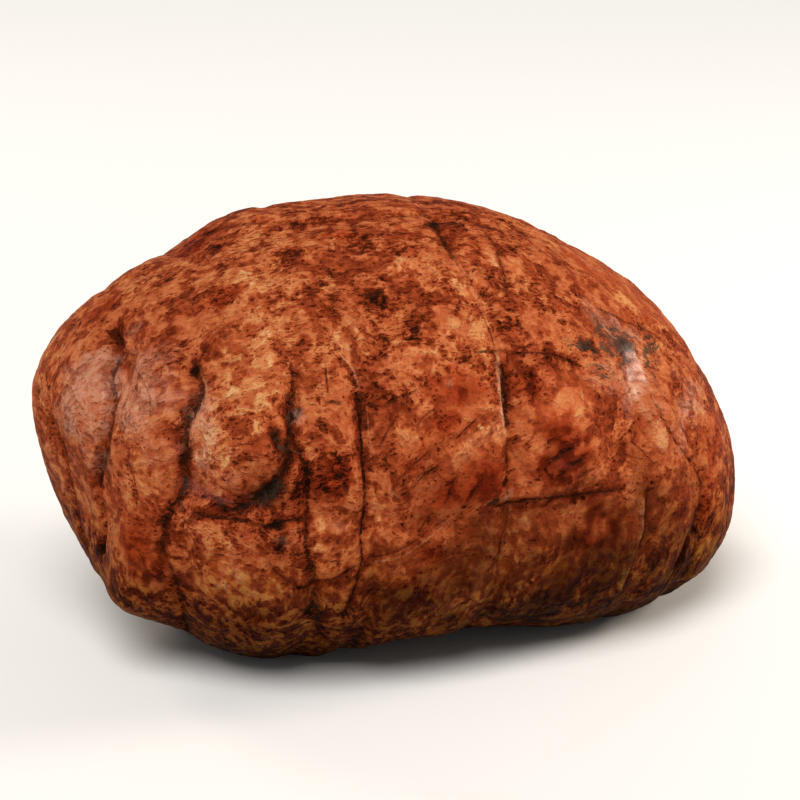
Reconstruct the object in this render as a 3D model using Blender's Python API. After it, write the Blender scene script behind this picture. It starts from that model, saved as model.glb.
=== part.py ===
"""A whole boneless roast ham, lying on its flat side. It is one piece of meat, so it is one solid.

X runs along the ham, from the narrow end at -X to the round butt at +X, -Y is its front and +Z is up.
The origin is on the surface it lies on, under the middle of its box.

The body is a sphere whose poles are the ham's two tips. Each point of the sphere is moved to its place
on the meat: superellipse arcs give the outline seen from the front and from above, a superellipse gives
each cross-section, and the strings that tied the meat have left grooves round it and along it.
An angle round the ham is 0 at the front, 90 degrees on top and 180 degrees at the back.
"""

import math

import bmesh
import bpy
import numpy as np

# Main sizes, in metres.
LENGTH = 0.285
HEIGHT = 0.170
FRONT = 0.097
BACK = 0.097

# The heights of the two tips.
NARROW_TIP_Z = 0.101
BUTT_TIP_Z = 0.052

# The crest is the highest point, and the waist is the height where the meat is widest.
CREST_X = -0.004
WAIST_X = 0.010
WAIST_Z = 0.078

# Where the front and the back reach out furthest: the front bulges nearer the narrow end.
FRONT_BULGE_X = -0.045
BACK_BULGE_X = 0.030

# The meat sags onto a flat, which is what is left when its round belly is pressed level.
BELLY_SAG = 0.007
BELLY_LEFT_X = -0.030
BELLY_RIGHT_X = 0.040
PRESS_SOFTNESS = 0.0015
FLAT_TOLERANCE = 0.0004

# Superellipse exponents: (along the arc, across it). Two is an ellipse, more is squarer.
TOP_LEFT = (1.8, 1.8)
TOP_RIGHT = (1.9, 1.9)
BELLY_LEFT = (2.2, 2.1)
BELLY_RIGHT = (2.5, 2.3)
PLAN_LEFT = (2.0, 1.85)
PLAN_RIGHT = (2.3, 2.05)
SECTION_ABOVE = 2.05
SECTION_BELOW = 2.3

# Strings round the ham. Each crosses the angle a at place + lean cos a + tilt sin a + bow cos 2a along X.
# (place, lean, tilt, bow, depth, half-width)
ROUND_STRINGS = (
    (-0.1175, -0.0030, 0.0040, -0.0035, 0.0030, 0.0050),
    (-0.0914, -0.0038, 0.0030, -0.0044, 0.0020, 0.0045),
    (-0.0560, 0.0000, -0.0040, 0.0000, 0.0012, 0.0040),
    (-0.0390, 0.0050, -0.0030, 0.0020, 0.0030, 0.0036),
    (0.0129, 0.0055, 0.0042, 0.0026, 0.0028, 0.0036),
    (0.0723, 0.0045, -0.0020, 0.0042, 0.0018, 0.0040),
    (0.0935, 0.0070, -0.0060, 0.0085, 0.0028, 0.0045),
)

# The strings bit less into the fat on top: this share of their depth is missing there.
TOP_EASE = 0.6

# Strings along the ham: (angle in degrees, from X, to X, depth, half-width).
LONG_STRINGS = (
    (-2.0, -0.106, 0.076, 0.0028, 0.0038),
    (33.0, 0.004, 0.066, 0.0014, 0.0036),
    (83.0, -0.072, 0.060, 0.0022, 0.0042),
    (132.0, -0.050, 0.052, 0.0012, 0.0040),
    (180.0, -0.106, 0.106, 0.0026, 0.0040),
)
STRING_END_FADE = 0.012

# Swellings of the meat, and hollows where the height is negative:
# (place along X, angle in degrees, height, length, girth).
SWELLINGS = (
    (-0.055, 104.0, 0.0042, 0.020, 0.040),
    (-0.079, 102.0, -0.0014, 0.010, 0.040),
    (-0.113, 92.0, 0.0015, 0.010, 0.030),
    (-0.116, 46.0, -0.0045, 0.0050, 0.018),
    (-0.108, 14.0, 0.0030, 0.0100, 0.034),
    (-0.076, 9.0, 0.0036, 0.0120, 0.022),
    (-0.134, -44.0, -0.0066, 0.010, 0.026),
    (-0.116, -54.0, 0.0076, 0.010, 0.026),
    (-0.048, -46.0, -0.0060, 0.013, 0.028),
    (-0.016, -66.0, -0.0090, 0.015, 0.028),
    (0.022, -62.0, -0.0075, 0.034, 0.036),
    (0.050, 18.0, 0.0022, 0.018, 0.022),
    (0.095, 30.0, 0.0020, 0.012, 0.020),
    (0.086, 84.0, -0.0030, 0.040, 0.045),
    (0.130, 85.0, -0.0030, 0.012, 0.045),
    (0.120, -50.0, 0.0015, 0.020, 0.035),
    (0.042, 158.0, 0.0030, 0.022, 0.026),
    (-0.012, 156.0, 0.0022, 0.018, 0.024),
    (-0.074, 150.0, 0.0026, 0.016, 0.028),
    (-0.066, 208.0, 0.0026, 0.018, 0.026),
    (0.044, 210.0, -0.0030, 0.026, 0.030),
)

# Relief dies away towards the tips, where the ham is no wider than this radius.
TIP_RADIUS = 0.028

# Mesh spacing.
STATION_GAP = 0.0085
ANGLE_GAP = math.radians(6.0)
GROOVE_STEPS = (-1.7, -0.75, 0.0, 0.75, 1.7)
CAP_STEPS = 6

MEAT_COLOUR = (0.42, 0.13, 0.045, 1.0)
MEAT_ROUGHNESS = 0.42

LEFT_X = -LENGTH / 2
RIGHT_X = LENGTH / 2


def arc(u, exponents):
    """Quarter of a superellipse: 1 at u = 0, falling to 0 at u = 1."""
    along, across = exponents
    return (1.0 - np.clip(u, 0.0, 1.0) ** along) ** (1.0 / across)


def two_arcs(x, middle_left, middle_right, left, right):
    """1 between the two middles, and an arc from each of them down to 0 at its tip."""
    toward_left = (middle_left - x) / (middle_left - LEFT_X)
    toward_right = (x - middle_right) / (RIGHT_X - middle_right)
    return np.where(x < middle_left, arc(toward_left, left), arc(toward_right, right))


def smooth_step(t):
    t = np.clip(t, 0.0, 1.0)
    return t * t * (3.0 - 2.0 * t)


def tip_height(x):
    return np.where(x < CREST_X, NARROW_TIP_Z, BUTT_TIP_Z)


def top_line(x):
    tip = tip_height(x)
    return tip + (HEIGHT - tip) * two_arcs(x, CREST_X, CREST_X, TOP_LEFT, TOP_RIGHT)


def belly_line(x):
    tip = tip_height(x)
    return tip - (tip + BELLY_SAG) * two_arcs(
        x, BELLY_LEFT_X, BELLY_RIGHT_X, BELLY_LEFT, BELLY_RIGHT
    )


def waist_line(x):
    """The height where the ham is widest, from one tip over the waist to the other."""
    left = smooth_step((WAIST_X - x) / (WAIST_X - LEFT_X))
    right = smooth_step((x - WAIST_X) / (RIGHT_X - WAIST_X))
    return WAIST_Z + (NARROW_TIP_Z - WAIST_Z) * left + (BUTT_TIP_Z - WAIST_Z) * right


def plan_reach(x, to_front):
    """How far the ham reaches from its long axis, seen from above."""
    front = FRONT * two_arcs(x, FRONT_BULGE_X, FRONT_BULGE_X, PLAN_LEFT, PLAN_RIGHT)
    back = BACK * two_arcs(x, BACK_BULGE_X, BACK_BULGE_X, PLAN_LEFT, PLAN_RIGHT)
    return np.where(to_front, front, back)


def body_point(x, angle):
    """A point of the smooth body, without grooves or swellings."""
    top = top_line(x)
    belly = belly_line(x)
    waist = np.clip(waist_line(x), belly, top)
    cosine = np.cos(angle)
    sine = np.sin(angle)
    above = sine >= 0.0
    power = 2.0 / np.where(above, SECTION_ABOVE, SECTION_BELOW)
    height = np.where(above, top - waist, waist - belly)
    y = -plan_reach(x, cosine > 0.0) * np.sign(cosine) * np.abs(cosine) ** power
    z = waist + height * np.sign(sine) * np.abs(sine) ** power
    return np.array([x, y, z])


def body_normal(x, angle):
    step = 1e-4
    along = body_point(x + step, angle) - body_point(x - step, angle)
    upwards = body_point(x, angle + step) - body_point(x, angle - step)
    normal = np.cross(along, upwards)
    return normal / np.linalg.norm(normal)


def string_place(string, angle):
    """Where a string round the ham lies along X, at an angle round it."""
    place, lean, tilt, bow = string[:4]
    return place + lean * math.cos(angle) + tilt * math.sin(angle) + bow * math.cos(2 * angle)


def turn(angle, degrees):
    """The angle from the second to the first, between minus and plus half a turn."""
    return (angle - math.radians(degrees) + math.pi) % (2.0 * math.pi) - math.pi


def groove_depth(x, angle, radius):
    """How far the strings have pressed the meat in."""
    depth = 0.0
    eased = 1.0 - TOP_EASE * max(0.0, math.sin(angle)) ** 2
    for string in ROUND_STRINGS:
        string_depth, half_width = string[4:]
        away = (x - string_place(string, angle)) / half_width
        depth += eased * string_depth * math.exp(-away * away)
    for degrees, start, end, string_depth, half_width in LONG_STRINGS:
        away = turn(angle, degrees) * radius / half_width
        run = smooth_step((x - start) / STRING_END_FADE) * smooth_step((end - x) / STRING_END_FADE)
        depth += run * string_depth * math.exp(-away * away)
    return depth


def swelling_height(x, angle, radius):
    """How far the meat swells out."""
    height = 0.0
    for place, degrees, swelling, length, girth in SWELLINGS:
        along = (x - place) / length
        across = turn(angle, degrees) * radius / girth
        height += swelling * math.exp(-along * along - across * across)
    return height


def surface(x, angle):
    """The finished surface: the body with its relief, pressed flat where the ham lies."""
    point = body_point(x, angle)
    axis_z = (top_line(x) + belly_line(x)) / 2
    radius = math.hypot(point[1], point[2] - axis_z)
    relief = swelling_height(x, angle, radius) - groove_depth(x, angle, radius)
    point += body_normal(x, angle) * relief * smooth_step(radius / TIP_RADIUS)
    pressed = PRESS_SOFTNESS * np.logaddexp(0.0, point[2] / PRESS_SOFTNESS)
    point[2] = max(0.0, pressed - FLAT_TOLERANCE)
    return point


def fill_gaps(places, widest_gap):
    """The places in order, with more between them where they are far apart."""
    filled = [places[0]]
    for place in places[1:]:
        start = filled[-1]
        pieces = max(1, math.ceil((place - start) / widest_gap - 0.2))
        filled += [start + (place - start) * (n + 1) / pieces for n in range(pieces)]
    return filled


def cap(tip, last):
    """Places between a tip and the last ring before it, closer together towards the tip."""
    quarter = math.pi / 2
    return [tip + (last - tip) * (1.0 - math.cos(quarter * n / CAP_STEPS)) for n in range(1, CAP_STEPS)]


def stations():
    """Places along X for the rings of the mesh, close together at each string."""
    near_strings = sorted(
        string[0] + step * string[5] for string in ROUND_STRINGS for step in GROOVE_STEPS
    )
    middle = fill_gaps(near_strings, STATION_GAP)
    return cap(LEFT_X, middle[0]) + middle + cap(RIGHT_X, middle[-1])[::-1]


def ring_angles():
    """Angles for the mesh's lengthwise lines, close together at each string."""
    widest = (FRONT + BACK) / 2
    full_turn = 2.0 * math.pi
    near_strings = sorted(
        (math.radians(string[0]) + step * string[4] / widest) % full_turn
        for string in LONG_STRINGS
        for step in GROOVE_STEPS
    )
    return fill_gaps([*near_strings, near_strings[0] + full_turn], ANGLE_GAP)[:-1]


def along_strings(place, angle):
    """A station's X at an angle, so that the rings of the mesh run with the strings."""
    level = [LEFT_X, *(string[0] for string in ROUND_STRINGS), RIGHT_X]
    crossing = [LEFT_X, *(string_place(string, angle) for string in ROUND_STRINGS), RIGHT_X]
    return float(np.interp(place, level, crossing))


def make_ham():
    """A sphere with its poles at the ham's tips, each of its points moved onto the meat."""
    places = stations()
    angles = ring_angles()
    rings = len(places) + 1
    build = bmesh.new()
    bmesh.ops.create_uvsphere(build, u_segments=len(angles), v_segments=rings, radius=1.0)
    for vertex in build.verts:
        from_pole = math.acos(max(-1.0, min(1.0, -vertex.co.z)))
        ring = round(from_pole / math.pi * rings)
        if ring == 0:
            vertex.co = (LEFT_X, 0.0, NARROW_TIP_Z)
        elif ring == rings:
            vertex.co = (RIGHT_X, 0.0, BUTT_TIP_Z)
        else:
            longitude = math.atan2(vertex.co.y, vertex.co.x)
            angle = angles[round(longitude / (2 * math.pi) * len(angles)) % len(angles)]
            vertex.co = surface(along_strings(places[ring - 1], angle), angle)
    bmesh.ops.triangulate(build, faces=build.faces)
    bmesh.ops.recalc_face_normals(build, faces=build.faces)
    middle_y = (min(v.co.y for v in build.verts) + max(v.co.y for v in build.verts)) / 2
    bmesh.ops.translate(build, verts=build.verts, vec=(0.0, -middle_y, 0.0))
    mesh = bpy.data.meshes.new("ham")
    build.to_mesh(mesh)
    build.free()
    mesh.shade_smooth()
    return bpy.data.objects.new("ham", mesh)


def roasted_rind():
    """Browned skin over the whole ham."""
    material = bpy.data.materials.new("roasted_rind")
    material.use_nodes = True
    shader = material.node_tree.nodes["Principled BSDF"]
    shader.inputs["Base Color"].default_value = MEAT_COLOUR
    shader.inputs["Roughness"].default_value = MEAT_ROUGHNESS
    shader.inputs["Metallic"].default_value = 0.0
    return material


def main():
    for old in list(bpy.data.objects):
        bpy.data.objects.remove(old)
    ham = make_ham()
    ham.data.materials.append(roasted_rind())
    bpy.context.scene.collection.objects.link(ham)


main()
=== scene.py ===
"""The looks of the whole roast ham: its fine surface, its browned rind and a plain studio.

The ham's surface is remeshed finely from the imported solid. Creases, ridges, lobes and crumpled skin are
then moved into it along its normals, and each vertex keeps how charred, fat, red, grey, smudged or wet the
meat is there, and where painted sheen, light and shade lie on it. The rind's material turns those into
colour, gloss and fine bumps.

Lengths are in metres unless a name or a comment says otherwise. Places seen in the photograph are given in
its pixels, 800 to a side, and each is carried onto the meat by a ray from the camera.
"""

import math
import random

import bmesh
import bpy
import numpy as np
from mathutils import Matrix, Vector, noise
from mathutils.bvhtree import BVHTree


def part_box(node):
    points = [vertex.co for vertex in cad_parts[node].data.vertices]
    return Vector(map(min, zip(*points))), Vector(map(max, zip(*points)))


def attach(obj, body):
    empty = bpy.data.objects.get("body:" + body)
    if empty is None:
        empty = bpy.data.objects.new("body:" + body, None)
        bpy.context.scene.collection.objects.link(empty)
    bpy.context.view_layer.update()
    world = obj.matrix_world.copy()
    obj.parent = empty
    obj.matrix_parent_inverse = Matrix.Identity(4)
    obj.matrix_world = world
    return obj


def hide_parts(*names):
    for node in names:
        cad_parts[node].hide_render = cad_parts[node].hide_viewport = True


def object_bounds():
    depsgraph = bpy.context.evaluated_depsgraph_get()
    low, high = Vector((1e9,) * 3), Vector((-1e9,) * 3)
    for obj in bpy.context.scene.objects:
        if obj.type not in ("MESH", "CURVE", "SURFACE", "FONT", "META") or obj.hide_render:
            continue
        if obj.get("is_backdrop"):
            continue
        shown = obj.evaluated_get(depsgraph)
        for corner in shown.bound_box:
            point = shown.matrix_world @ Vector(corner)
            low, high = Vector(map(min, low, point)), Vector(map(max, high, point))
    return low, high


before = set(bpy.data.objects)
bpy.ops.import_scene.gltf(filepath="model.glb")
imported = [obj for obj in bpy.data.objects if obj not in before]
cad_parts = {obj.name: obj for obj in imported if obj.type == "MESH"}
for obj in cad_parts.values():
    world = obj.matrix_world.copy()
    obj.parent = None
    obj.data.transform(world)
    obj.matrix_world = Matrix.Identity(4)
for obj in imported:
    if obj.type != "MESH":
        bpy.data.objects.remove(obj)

cad_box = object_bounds()

MM = 0.001

# The camera stands where the photograph's did.
AZIMUTH = math.radians(-15.0)
ELEVATION = math.radians(19.5)
DISTANCE = 1.15
PIXELS_PER_METRE = 2525.0
PICTURE_PX = 800
SENSOR_MM = 36.0
AIM_RIGHT_PX = 8.0
AIM_UP_PX = 10.0

# The fine surface.
WELD = 1e-5
VOXEL = 1.51 * MM
SMOOTH_ROUNDS = 12
SMOOTH_STEP = 0.5
UNSMOOTH_STEP = -0.51

# The relief dies away where the ham rests, below this height.
REST_FADE = 6.0 * MM

# The unevenness of cooked skin: broad lumps, small lumps and grain along the meat.
# (height mm, waves per metre along X and across it, shift, then fall-off, fineness and number of octaves)
CRUMPLES = (
    (0.6, 28, 34, 0, 0.9, 2, 2),
    (0.5, 85, 110, 7, 0.8, 2.1, 3),
    (0.14, 170, 420, 3, 0.8, 2.1, 2),
)

# How far from its line a crease or ridge still counts, how soon it is at full strength from its ends and
# with what head start, how close its points are, and how many half-widths stand for far away.
LINE_REACH = 4.0 * MM
LINE_END_FADE = 4.0 * MM
LINE_HEAD_START = 0.2
LINE_STEP_PX = 1.5
FAR_SIDE = 12.0

# How many times as wide as a crease its scorch and painted shade are.
SCORCH_AND_SHADE_SPREAD = 1.5

# Creases: (points in picture pixels, depth, half-width and line's half-width in mm, darkness, scorch and
# shade).
# A crease's dark line and its scorch are partly painted shade in the crease, partly its browning.
CREASES = {
    "narrow_end": (((47, 395), (50, 420), (58, 436), (64, 455), (69, 479), (75, 501), (77, 520),
        (82, 536), (90, 550)), 1.3, 1.8, 0.5, 0.5, 0.5),
    "deep_fold": (((112, 322), (115, 333), (118, 352), (110, 372), (114, 390), (109, 412), (106, 430),
        (104, 450), (98, 468), (96, 484), (101, 510), (103, 530), (100, 552)), 3.2, 3, 0.9, 0.7, 0.95),
    "fold_fork": (((118, 352), (131, 355), (142, 349)), 1.2, 1.6, 0.5, 0.5, 0.4),
    "wavy_band": (((192, 358), (195, 370), (202, 388), (197, 405), (189, 421), (184, 442), (187, 453),
        (182, 465), (185, 483), (180, 496), (170, 512), (164, 530), (162, 549), (165, 560)), 1.4, 2.2, 1.1,
        0.75, 1),
    "lower_left": (((165, 560), (173, 575), (181, 603), (184, 620), (188, 636)), 1.2, 1.6, 0.8, 0.8,
        0.6),
    "lobe_edge": (((290, 390), (292, 410), (290, 443), (289, 460), (283, 474), (272, 487), (258, 498),
        (245, 508), (230, 512), (212, 508)), 2.8, 2.8, 1.7, 0.9, 1),
    "seam_left": (((190, 514), (212, 517), (226, 519), (240, 521), (252, 523), (265, 527), (277, 524),
        (291, 520), (307, 519)), 1.4, 1.4, 0.8, 0.85, 0.9),
    "third_string": (((291, 366), (293, 385), (294, 400), (294, 412), (293, 428), (298, 448),
        (306, 470), (308, 486), (307, 500), (307, 519), (306, 537), (307, 549), (311, 562)), 1, 1.5, 0.7,
        0.8, 0.8),
    "third_string_low": (((311, 560), (313, 588), (315, 605), (318, 628), (322, 642)), 1.2, 2, 1.5,
        0.75, 0.8),
    "fourth_string": (((358, 388), (360, 411), (361, 427), (363, 444), (364, 462), (366, 478),
        (367, 494), (367, 508), (364, 523), (362, 538), (363, 552), (363, 564), (359, 576), (356, 590),
        (348, 608), (342, 622)), 1.6, 1.5, 0.6, 0.95, 0.6),
    "fifth_string_top": (((424, 207), (427, 213), (436, 224), (441, 232), (445, 242), (450, 250),
        (457, 262)), 1.2, 2.2, 1.3, 0.7, 0.8),
    "fifth_string_dip": (((478, 303), (483, 315), (488, 327), (492, 339), (495, 352)), 0.6, 0.9, 0.35,
        0.6, 0.3),
    "fifth_string_slit": (((500, 362), (503, 376), (505, 397), (507, 417), (509, 434)), 1.8, 1.8, 1.1,
        0.8, 0.7),
    "fifth_string_low": (((507, 440), (507, 450), (507, 474), (508, 495), (508, 508), (507, 521),
        (503, 534), (501, 547), (497, 560), (489, 570), (482, 574)), 0.7, 1.1, 0.45, 0.5, 0.4),
    "split_string": (((484, 230), (491, 238), (497, 245), (499, 256), (504, 269), (506, 285),
        (509, 300)), 0.8, 1.4, 0.8, 0.65, 0.6),
    "crest_left": (((203, 233), (228, 226), (255, 222), (300, 222), (350, 219), (400, 216),
        (428, 213)), 0.7, 1.8, 0.5, 0.4, 0.45),
    "crest_right": (((428, 213), (445, 211), (464, 211), (478, 214), (492, 217), (506, 221),
        (519, 227), (540, 239)), 0.9, 1.4, 0.7, 0.6, 0.6),
    "upper_seam": (((470, 352), (496, 352), (515, 353), (534, 353), (553, 355), (566, 359),
        (582, 367)), 0.5, 0.8, 0.45, 0.75, 0.5),
    "shoulder": (((596, 307), (612, 314), (622, 320), (636, 325), (651, 332), (662, 338)), 0.5, 0.8,
        0.4, 0.6, 0.35),
    "butt_edge": (((664, 352), (684, 360), (698, 378), (708, 394)), 0.6, 1.4, 0.5, 0.4, 0.3),
    "sixth_string": (((646, 487), (646, 500), (646, 515), (645, 530), (640, 545), (635, 562),
        (629, 580), (624, 597)), 0.9, 1.2, 0.6, 0.6, 0.4),
    "seventh_string": (((650, 393), (656, 403), (665, 422), (674, 437), (682, 449), (690, 460),
        (698, 473), (702, 489), (700, 506), (697, 518), (694, 529), (687, 544), (682, 555), (675, 573),
        (664, 589)), 1, 1.6, 0.6, 0.6, 0.5),
    "seam_right": (((486, 508), (508, 505), (521, 502), (534, 500), (560, 498), (590, 494),
        (625, 489)), 1.2, 1.4, 0.8, 0.8, 1),
    "slanting_cut": (((366, 556), (379, 557), (396, 552), (409, 545), (419, 539), (432, 529),
        (451, 517)), 0.7, 0.8, 0.4, 0.65, 0.35),
    "belly_fold": (((268, 560), (275, 572), (291, 584), (305, 590), (320, 583), (335, 580), (350, 570),
        (363, 565)), 1, 1.3, 0.5, 0.65, 0.5),
    "arched_cut": (((408, 495), (412, 485), (419, 476), (427, 471), (436, 472), (441, 480)), 0.4, 0.6,
        0.3, 0.5, 0.2),
    "fat_edge": (((609, 443), (620, 452), (634, 458), (648, 459)), 0.5, 0.9, 0.35, 0.4, 0.3),
    "short_cut": (((326, 363), (327, 380), (328, 396)), 0.5, 0.7, 0.4, 0.85, 0.3),
    "char_dash": (((325, 401), (334, 402), (343, 404)), 0.4, 1, 0.8, 0.9, 0.4),
    "left_streak": (((248, 317), (235, 322), (217, 333), (205, 350), (196, 364)), 0.4, 1.1, 0.5, 0.4,
        0.6),
    "short_arc": (((286, 367), (296, 373), (303, 382)), 0.4, 0.7, 0.4, 0.8, 0.3),
    "smile_cut": (((322, 562), (333, 562), (343, 560)), 0.5, 0.8, 0.4, 0.8, 0.3),
    "hatch_high": (((453, 442), (461, 434), (470, 425), (480, 415)), 0.5, 0.7, 0.35, 0.7, 0.4),
    "hatch_higher": (((466, 440), (476, 430), (488, 421)), 0.4, 0.6, 0.3, 0.5, 0.3),
    "hatch_left": (((398, 481), (408, 470), (420, 459), (432, 450)), 0.5, 0.8, 0.4, 0.6, 0.4),
    "hatch_low": (((410, 492), (418, 481), (428, 472), (440, 468)), 0.6, 0.9, 0.4, 0.7, 0.4),
    "hatch_foot": (((445, 508), (449, 495), (453, 482), (460, 472)), 0.6, 1, 0.5, 0.7, 0.6),
    "hatch_foot_right": (((470, 500), (476, 488), (484, 476)), 0.4, 0.8, 0.4, 0.5, 0.5),
    "pebble_left": (((378, 450), (385, 436), (392, 424), (402, 414)), 0.6, 0.9, 0.35, 0.6, 0.3),
    "pebble_right": (((415, 432), (420, 420), (430, 412), (441, 408)), 0.5, 0.8, 0.35, 0.5, 0.3),
    "pebble_top": (((380, 410), (392, 400), (408, 395), (420, 388)), 0.5, 0.9, 0.4, 0.6, 0.4),
    "burn_top": (((541, 448), (549, 442), (559, 437)), 0.3, 0.9, 0.9, 0.8, 0.3),
    "burn_second": (((548, 462), (561, 453), (575, 446)), 0.3, 0.9, 0.9, 0.9, 0.3),
    "burn_third": (((556, 477), (570, 466), (587, 456)), 0.3, 0.9, 0.9, 0.9, 0.3),
    "burn_low": (((562, 489), (575, 478), (590, 470)), 0.3, 0.9, 0.8, 0.8, 0.3),
    "seventh_foot": (((698, 505), (694, 522), (688, 540), (682, 556), (674, 572)), 1, 1.5, 1.1, 0.8,
        0.9),
    "butt_wrinkle": (((610, 388), (622, 405), (636, 424), (650, 444)), 0.4, 0.9, 0.3, 0.4, 0.25),
    "butt_wrinkle_up": (((655, 384), (668, 402), (680, 424), (690, 440)), 0.4, 0.9, 0.3, 0.4, 0.25),
    "butt_wrinkle_low": (((628, 440), (642, 452), (656, 468), (664, 484)), 0.4, 0.9, 0.3, 0.4, 0.25),
    "left_wrinkle": (((130, 362), (142, 380), (150, 398), (150, 420)), 0.5, 1.2, 0.3, 0.35, 0.3),
    "left_wrinkle_low": (((128, 455), (133, 475), (137, 492), (136, 510)), 0.5, 1, 0.4, 0.6, 0.4),
    "belly_cut": (((364, 590), (376, 596), (388, 600)), 0.4, 1, 0.5, 0.6, 0.4),
}

# Ridges: (points in picture pixels, height, half-width and line's half-width in mm, paleness).
RIDGES = {
    "fourth_string_lip": (((326, 330), (336, 344), (342, 356), (349, 364), (355, 375), (359, 386),
        (360, 396)), 0.6, 1.3, 0.55, 0.75),
    "fifth_string_strip": (((496, 350), (498, 372), (500, 390), (501, 405), (503, 420), (505, 438)),
        0.8, 1.3, 1.1, 1.6),
    "fourth_string_right": (((367, 404), (368, 425), (370, 445), (371, 463)), 0.4, 0.9, 0.35, 0.5),
    "left_lip": (((108, 446), (128, 437), (142, 430), (156, 421), (170, 411), (179, 403)), 0.5, 0.9,
        0.3, 0.5),
    "sixth_string_lip": (((642, 497), (641, 512), (640, 529), (635, 544), (629, 560), (623, 580),
        (619, 594)), 0.9, 1.5, 1.6, 0.9),
    "slanting_lip": (((372, 562), (398, 557), (411, 550), (422, 543), (434, 533), (448, 521)), 0.4,
        0.9, 0.5, 0.4),
    "fifth_string_crest": (((452, 252), (463, 272), (473, 290), (487, 306)), 0.3, 1.6, 0.9, 0.3),
    "thread_mark": (((289, 432), (291, 447), (300, 453), (308, 454)), 0.3, 0.5, 0.25, 0.6),
    "fifth_string_foot": (((510, 510), (508, 530), (505, 547), (501, 558)), 0.3, 0.7, 0.35, 0.35),
    "wavy_lip": (((200, 368), (207, 390), (202, 408), (194, 425), (191, 440)), 0.6, 1.2, 0.9, 0.55),
    "butt_ridge": (((632, 396), (645, 412), (656, 430), (668, 448)), 0.7, 2.4, 2.2, 0.45),
    "hatch_ridge": (((452, 466), (468, 450), (486, 434), (500, 424)), 0.5, 2, 2.6, 0.35),
    "hatch_ridge_low": (((400, 500), (392, 492), (386, 478)), 0.5, 1, 0.8, 0.4),
    "fold_lip": (((122, 348), (120, 360), (117, 372)), 0.6, 1.2, 0.6, 0.4),
}

# The deeper strings round the ham, as the solid has them: each crosses the angle a at
# place + lean cos a + tilt sin a + bow cos 2a along X. (place, lean, tilt, bow)
ROUND_STRINGS = (
    (-0.1175, -0.0030, 0.0040, -0.0035), (-0.0914, -0.0038, 0.0030, -0.0044),
    (-0.0390, 0.0050, -0.0030, 0.0020), (0.0129, 0.0055, 0.0042, 0.0026),
    (0.0723, 0.0045, -0.0020, 0.0042), (0.0935, 0.0070, -0.0060, 0.0085),
)
ROUND_FROM_DEG = 108.0
ROUND_TO_DEG = 300.0
ROUND_STEP_DEG = 1.0

# Strings along the back: (angle in degrees, from X, to X).
LONG_STRINGS = ((132.0, -0.050, 0.052), (180.0, -0.106, 0.106))
LONG_STEP = 1.0 * MM

# The crease of a string on a side that the photograph doesn't show, given as under Creases.
STRING_MARK = (0.7, 1.6, 0.6, 0.65, 0.65)

# Patches strewn over the sides that the photograph doesn't show:
# (how many, least and greatest half-length mm, least and greatest amount).
SCATTER_SEED = 11
SCATTER = {
    "fat": (30, (2.5, 9), (0.5, 1)),
    "char": (34, (1.5, 7), (0.5, 1)),
    "red": (22, (5, 12), (0.5, 0.9)),
    "grey": (10, (4, 12), (0.5, 1)),
    "wet": (9, (5, 12), (0.4, 0.9)),
    "fibre": (5, (16, 26), (0.7, 1)),
    "speck": (6, (14, 30), (0.6, 1)),
    "clean": (12, (8, 16), (0.5, 0.9)),
    "tone": (40, (6, 22), (-0.13, 0.09)),
    "smudge": (5, (2, 6), (0.4, 0.9)),
}
NO_SCATTER = (0, (1, 1), (0, 0))
SCATTER_X = 0.128
SCATTER_HEIGHTS = (0.35, 0.9)
SCATTER_TILT_DEG = 40.0

# A place is unseen where its normal leans to the camera less than this. A patch seen aslant is drawn out,
# as if it leant to the camera at least this much.
UNSEEN = 0.05
LEAST_LEAN = 0.45

# How ragged a patch's rim is, as a share of its size, and how finely, in waves per metre.
RAGGEDNESS = 0.75
SWAY_SEED = 5
SWAY_BROAD = 95.0
SWAY_FINE = 260.0
SWAY_FINE_SHARE = 0.6

# Lobes: (picture x, picture y, half-length mm, half-height mm, tilt degrees, height mm).
LOBES = (
    (250, 450, 15, 24, 10, 2.6), (70, 400, 9, 20, 10, 1.4), (145, 440, 13, 26, -5, 1.2),
    (272, 540, 14, 9, 0, 0.8), (335, 470, 9, 30, 0, 0.7), (430, 450, 22, 28, 0, 0.9),
    (570, 430, 22, 24, 0, 0.9), (575, 545, 24, 18, 0, 0.7), (430, 300, 26, 12, 0, 0.6),
    (620, 370, 12, 12, 0, 0.8), (672, 480, 10, 22, 15, 0.7),
)

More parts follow.
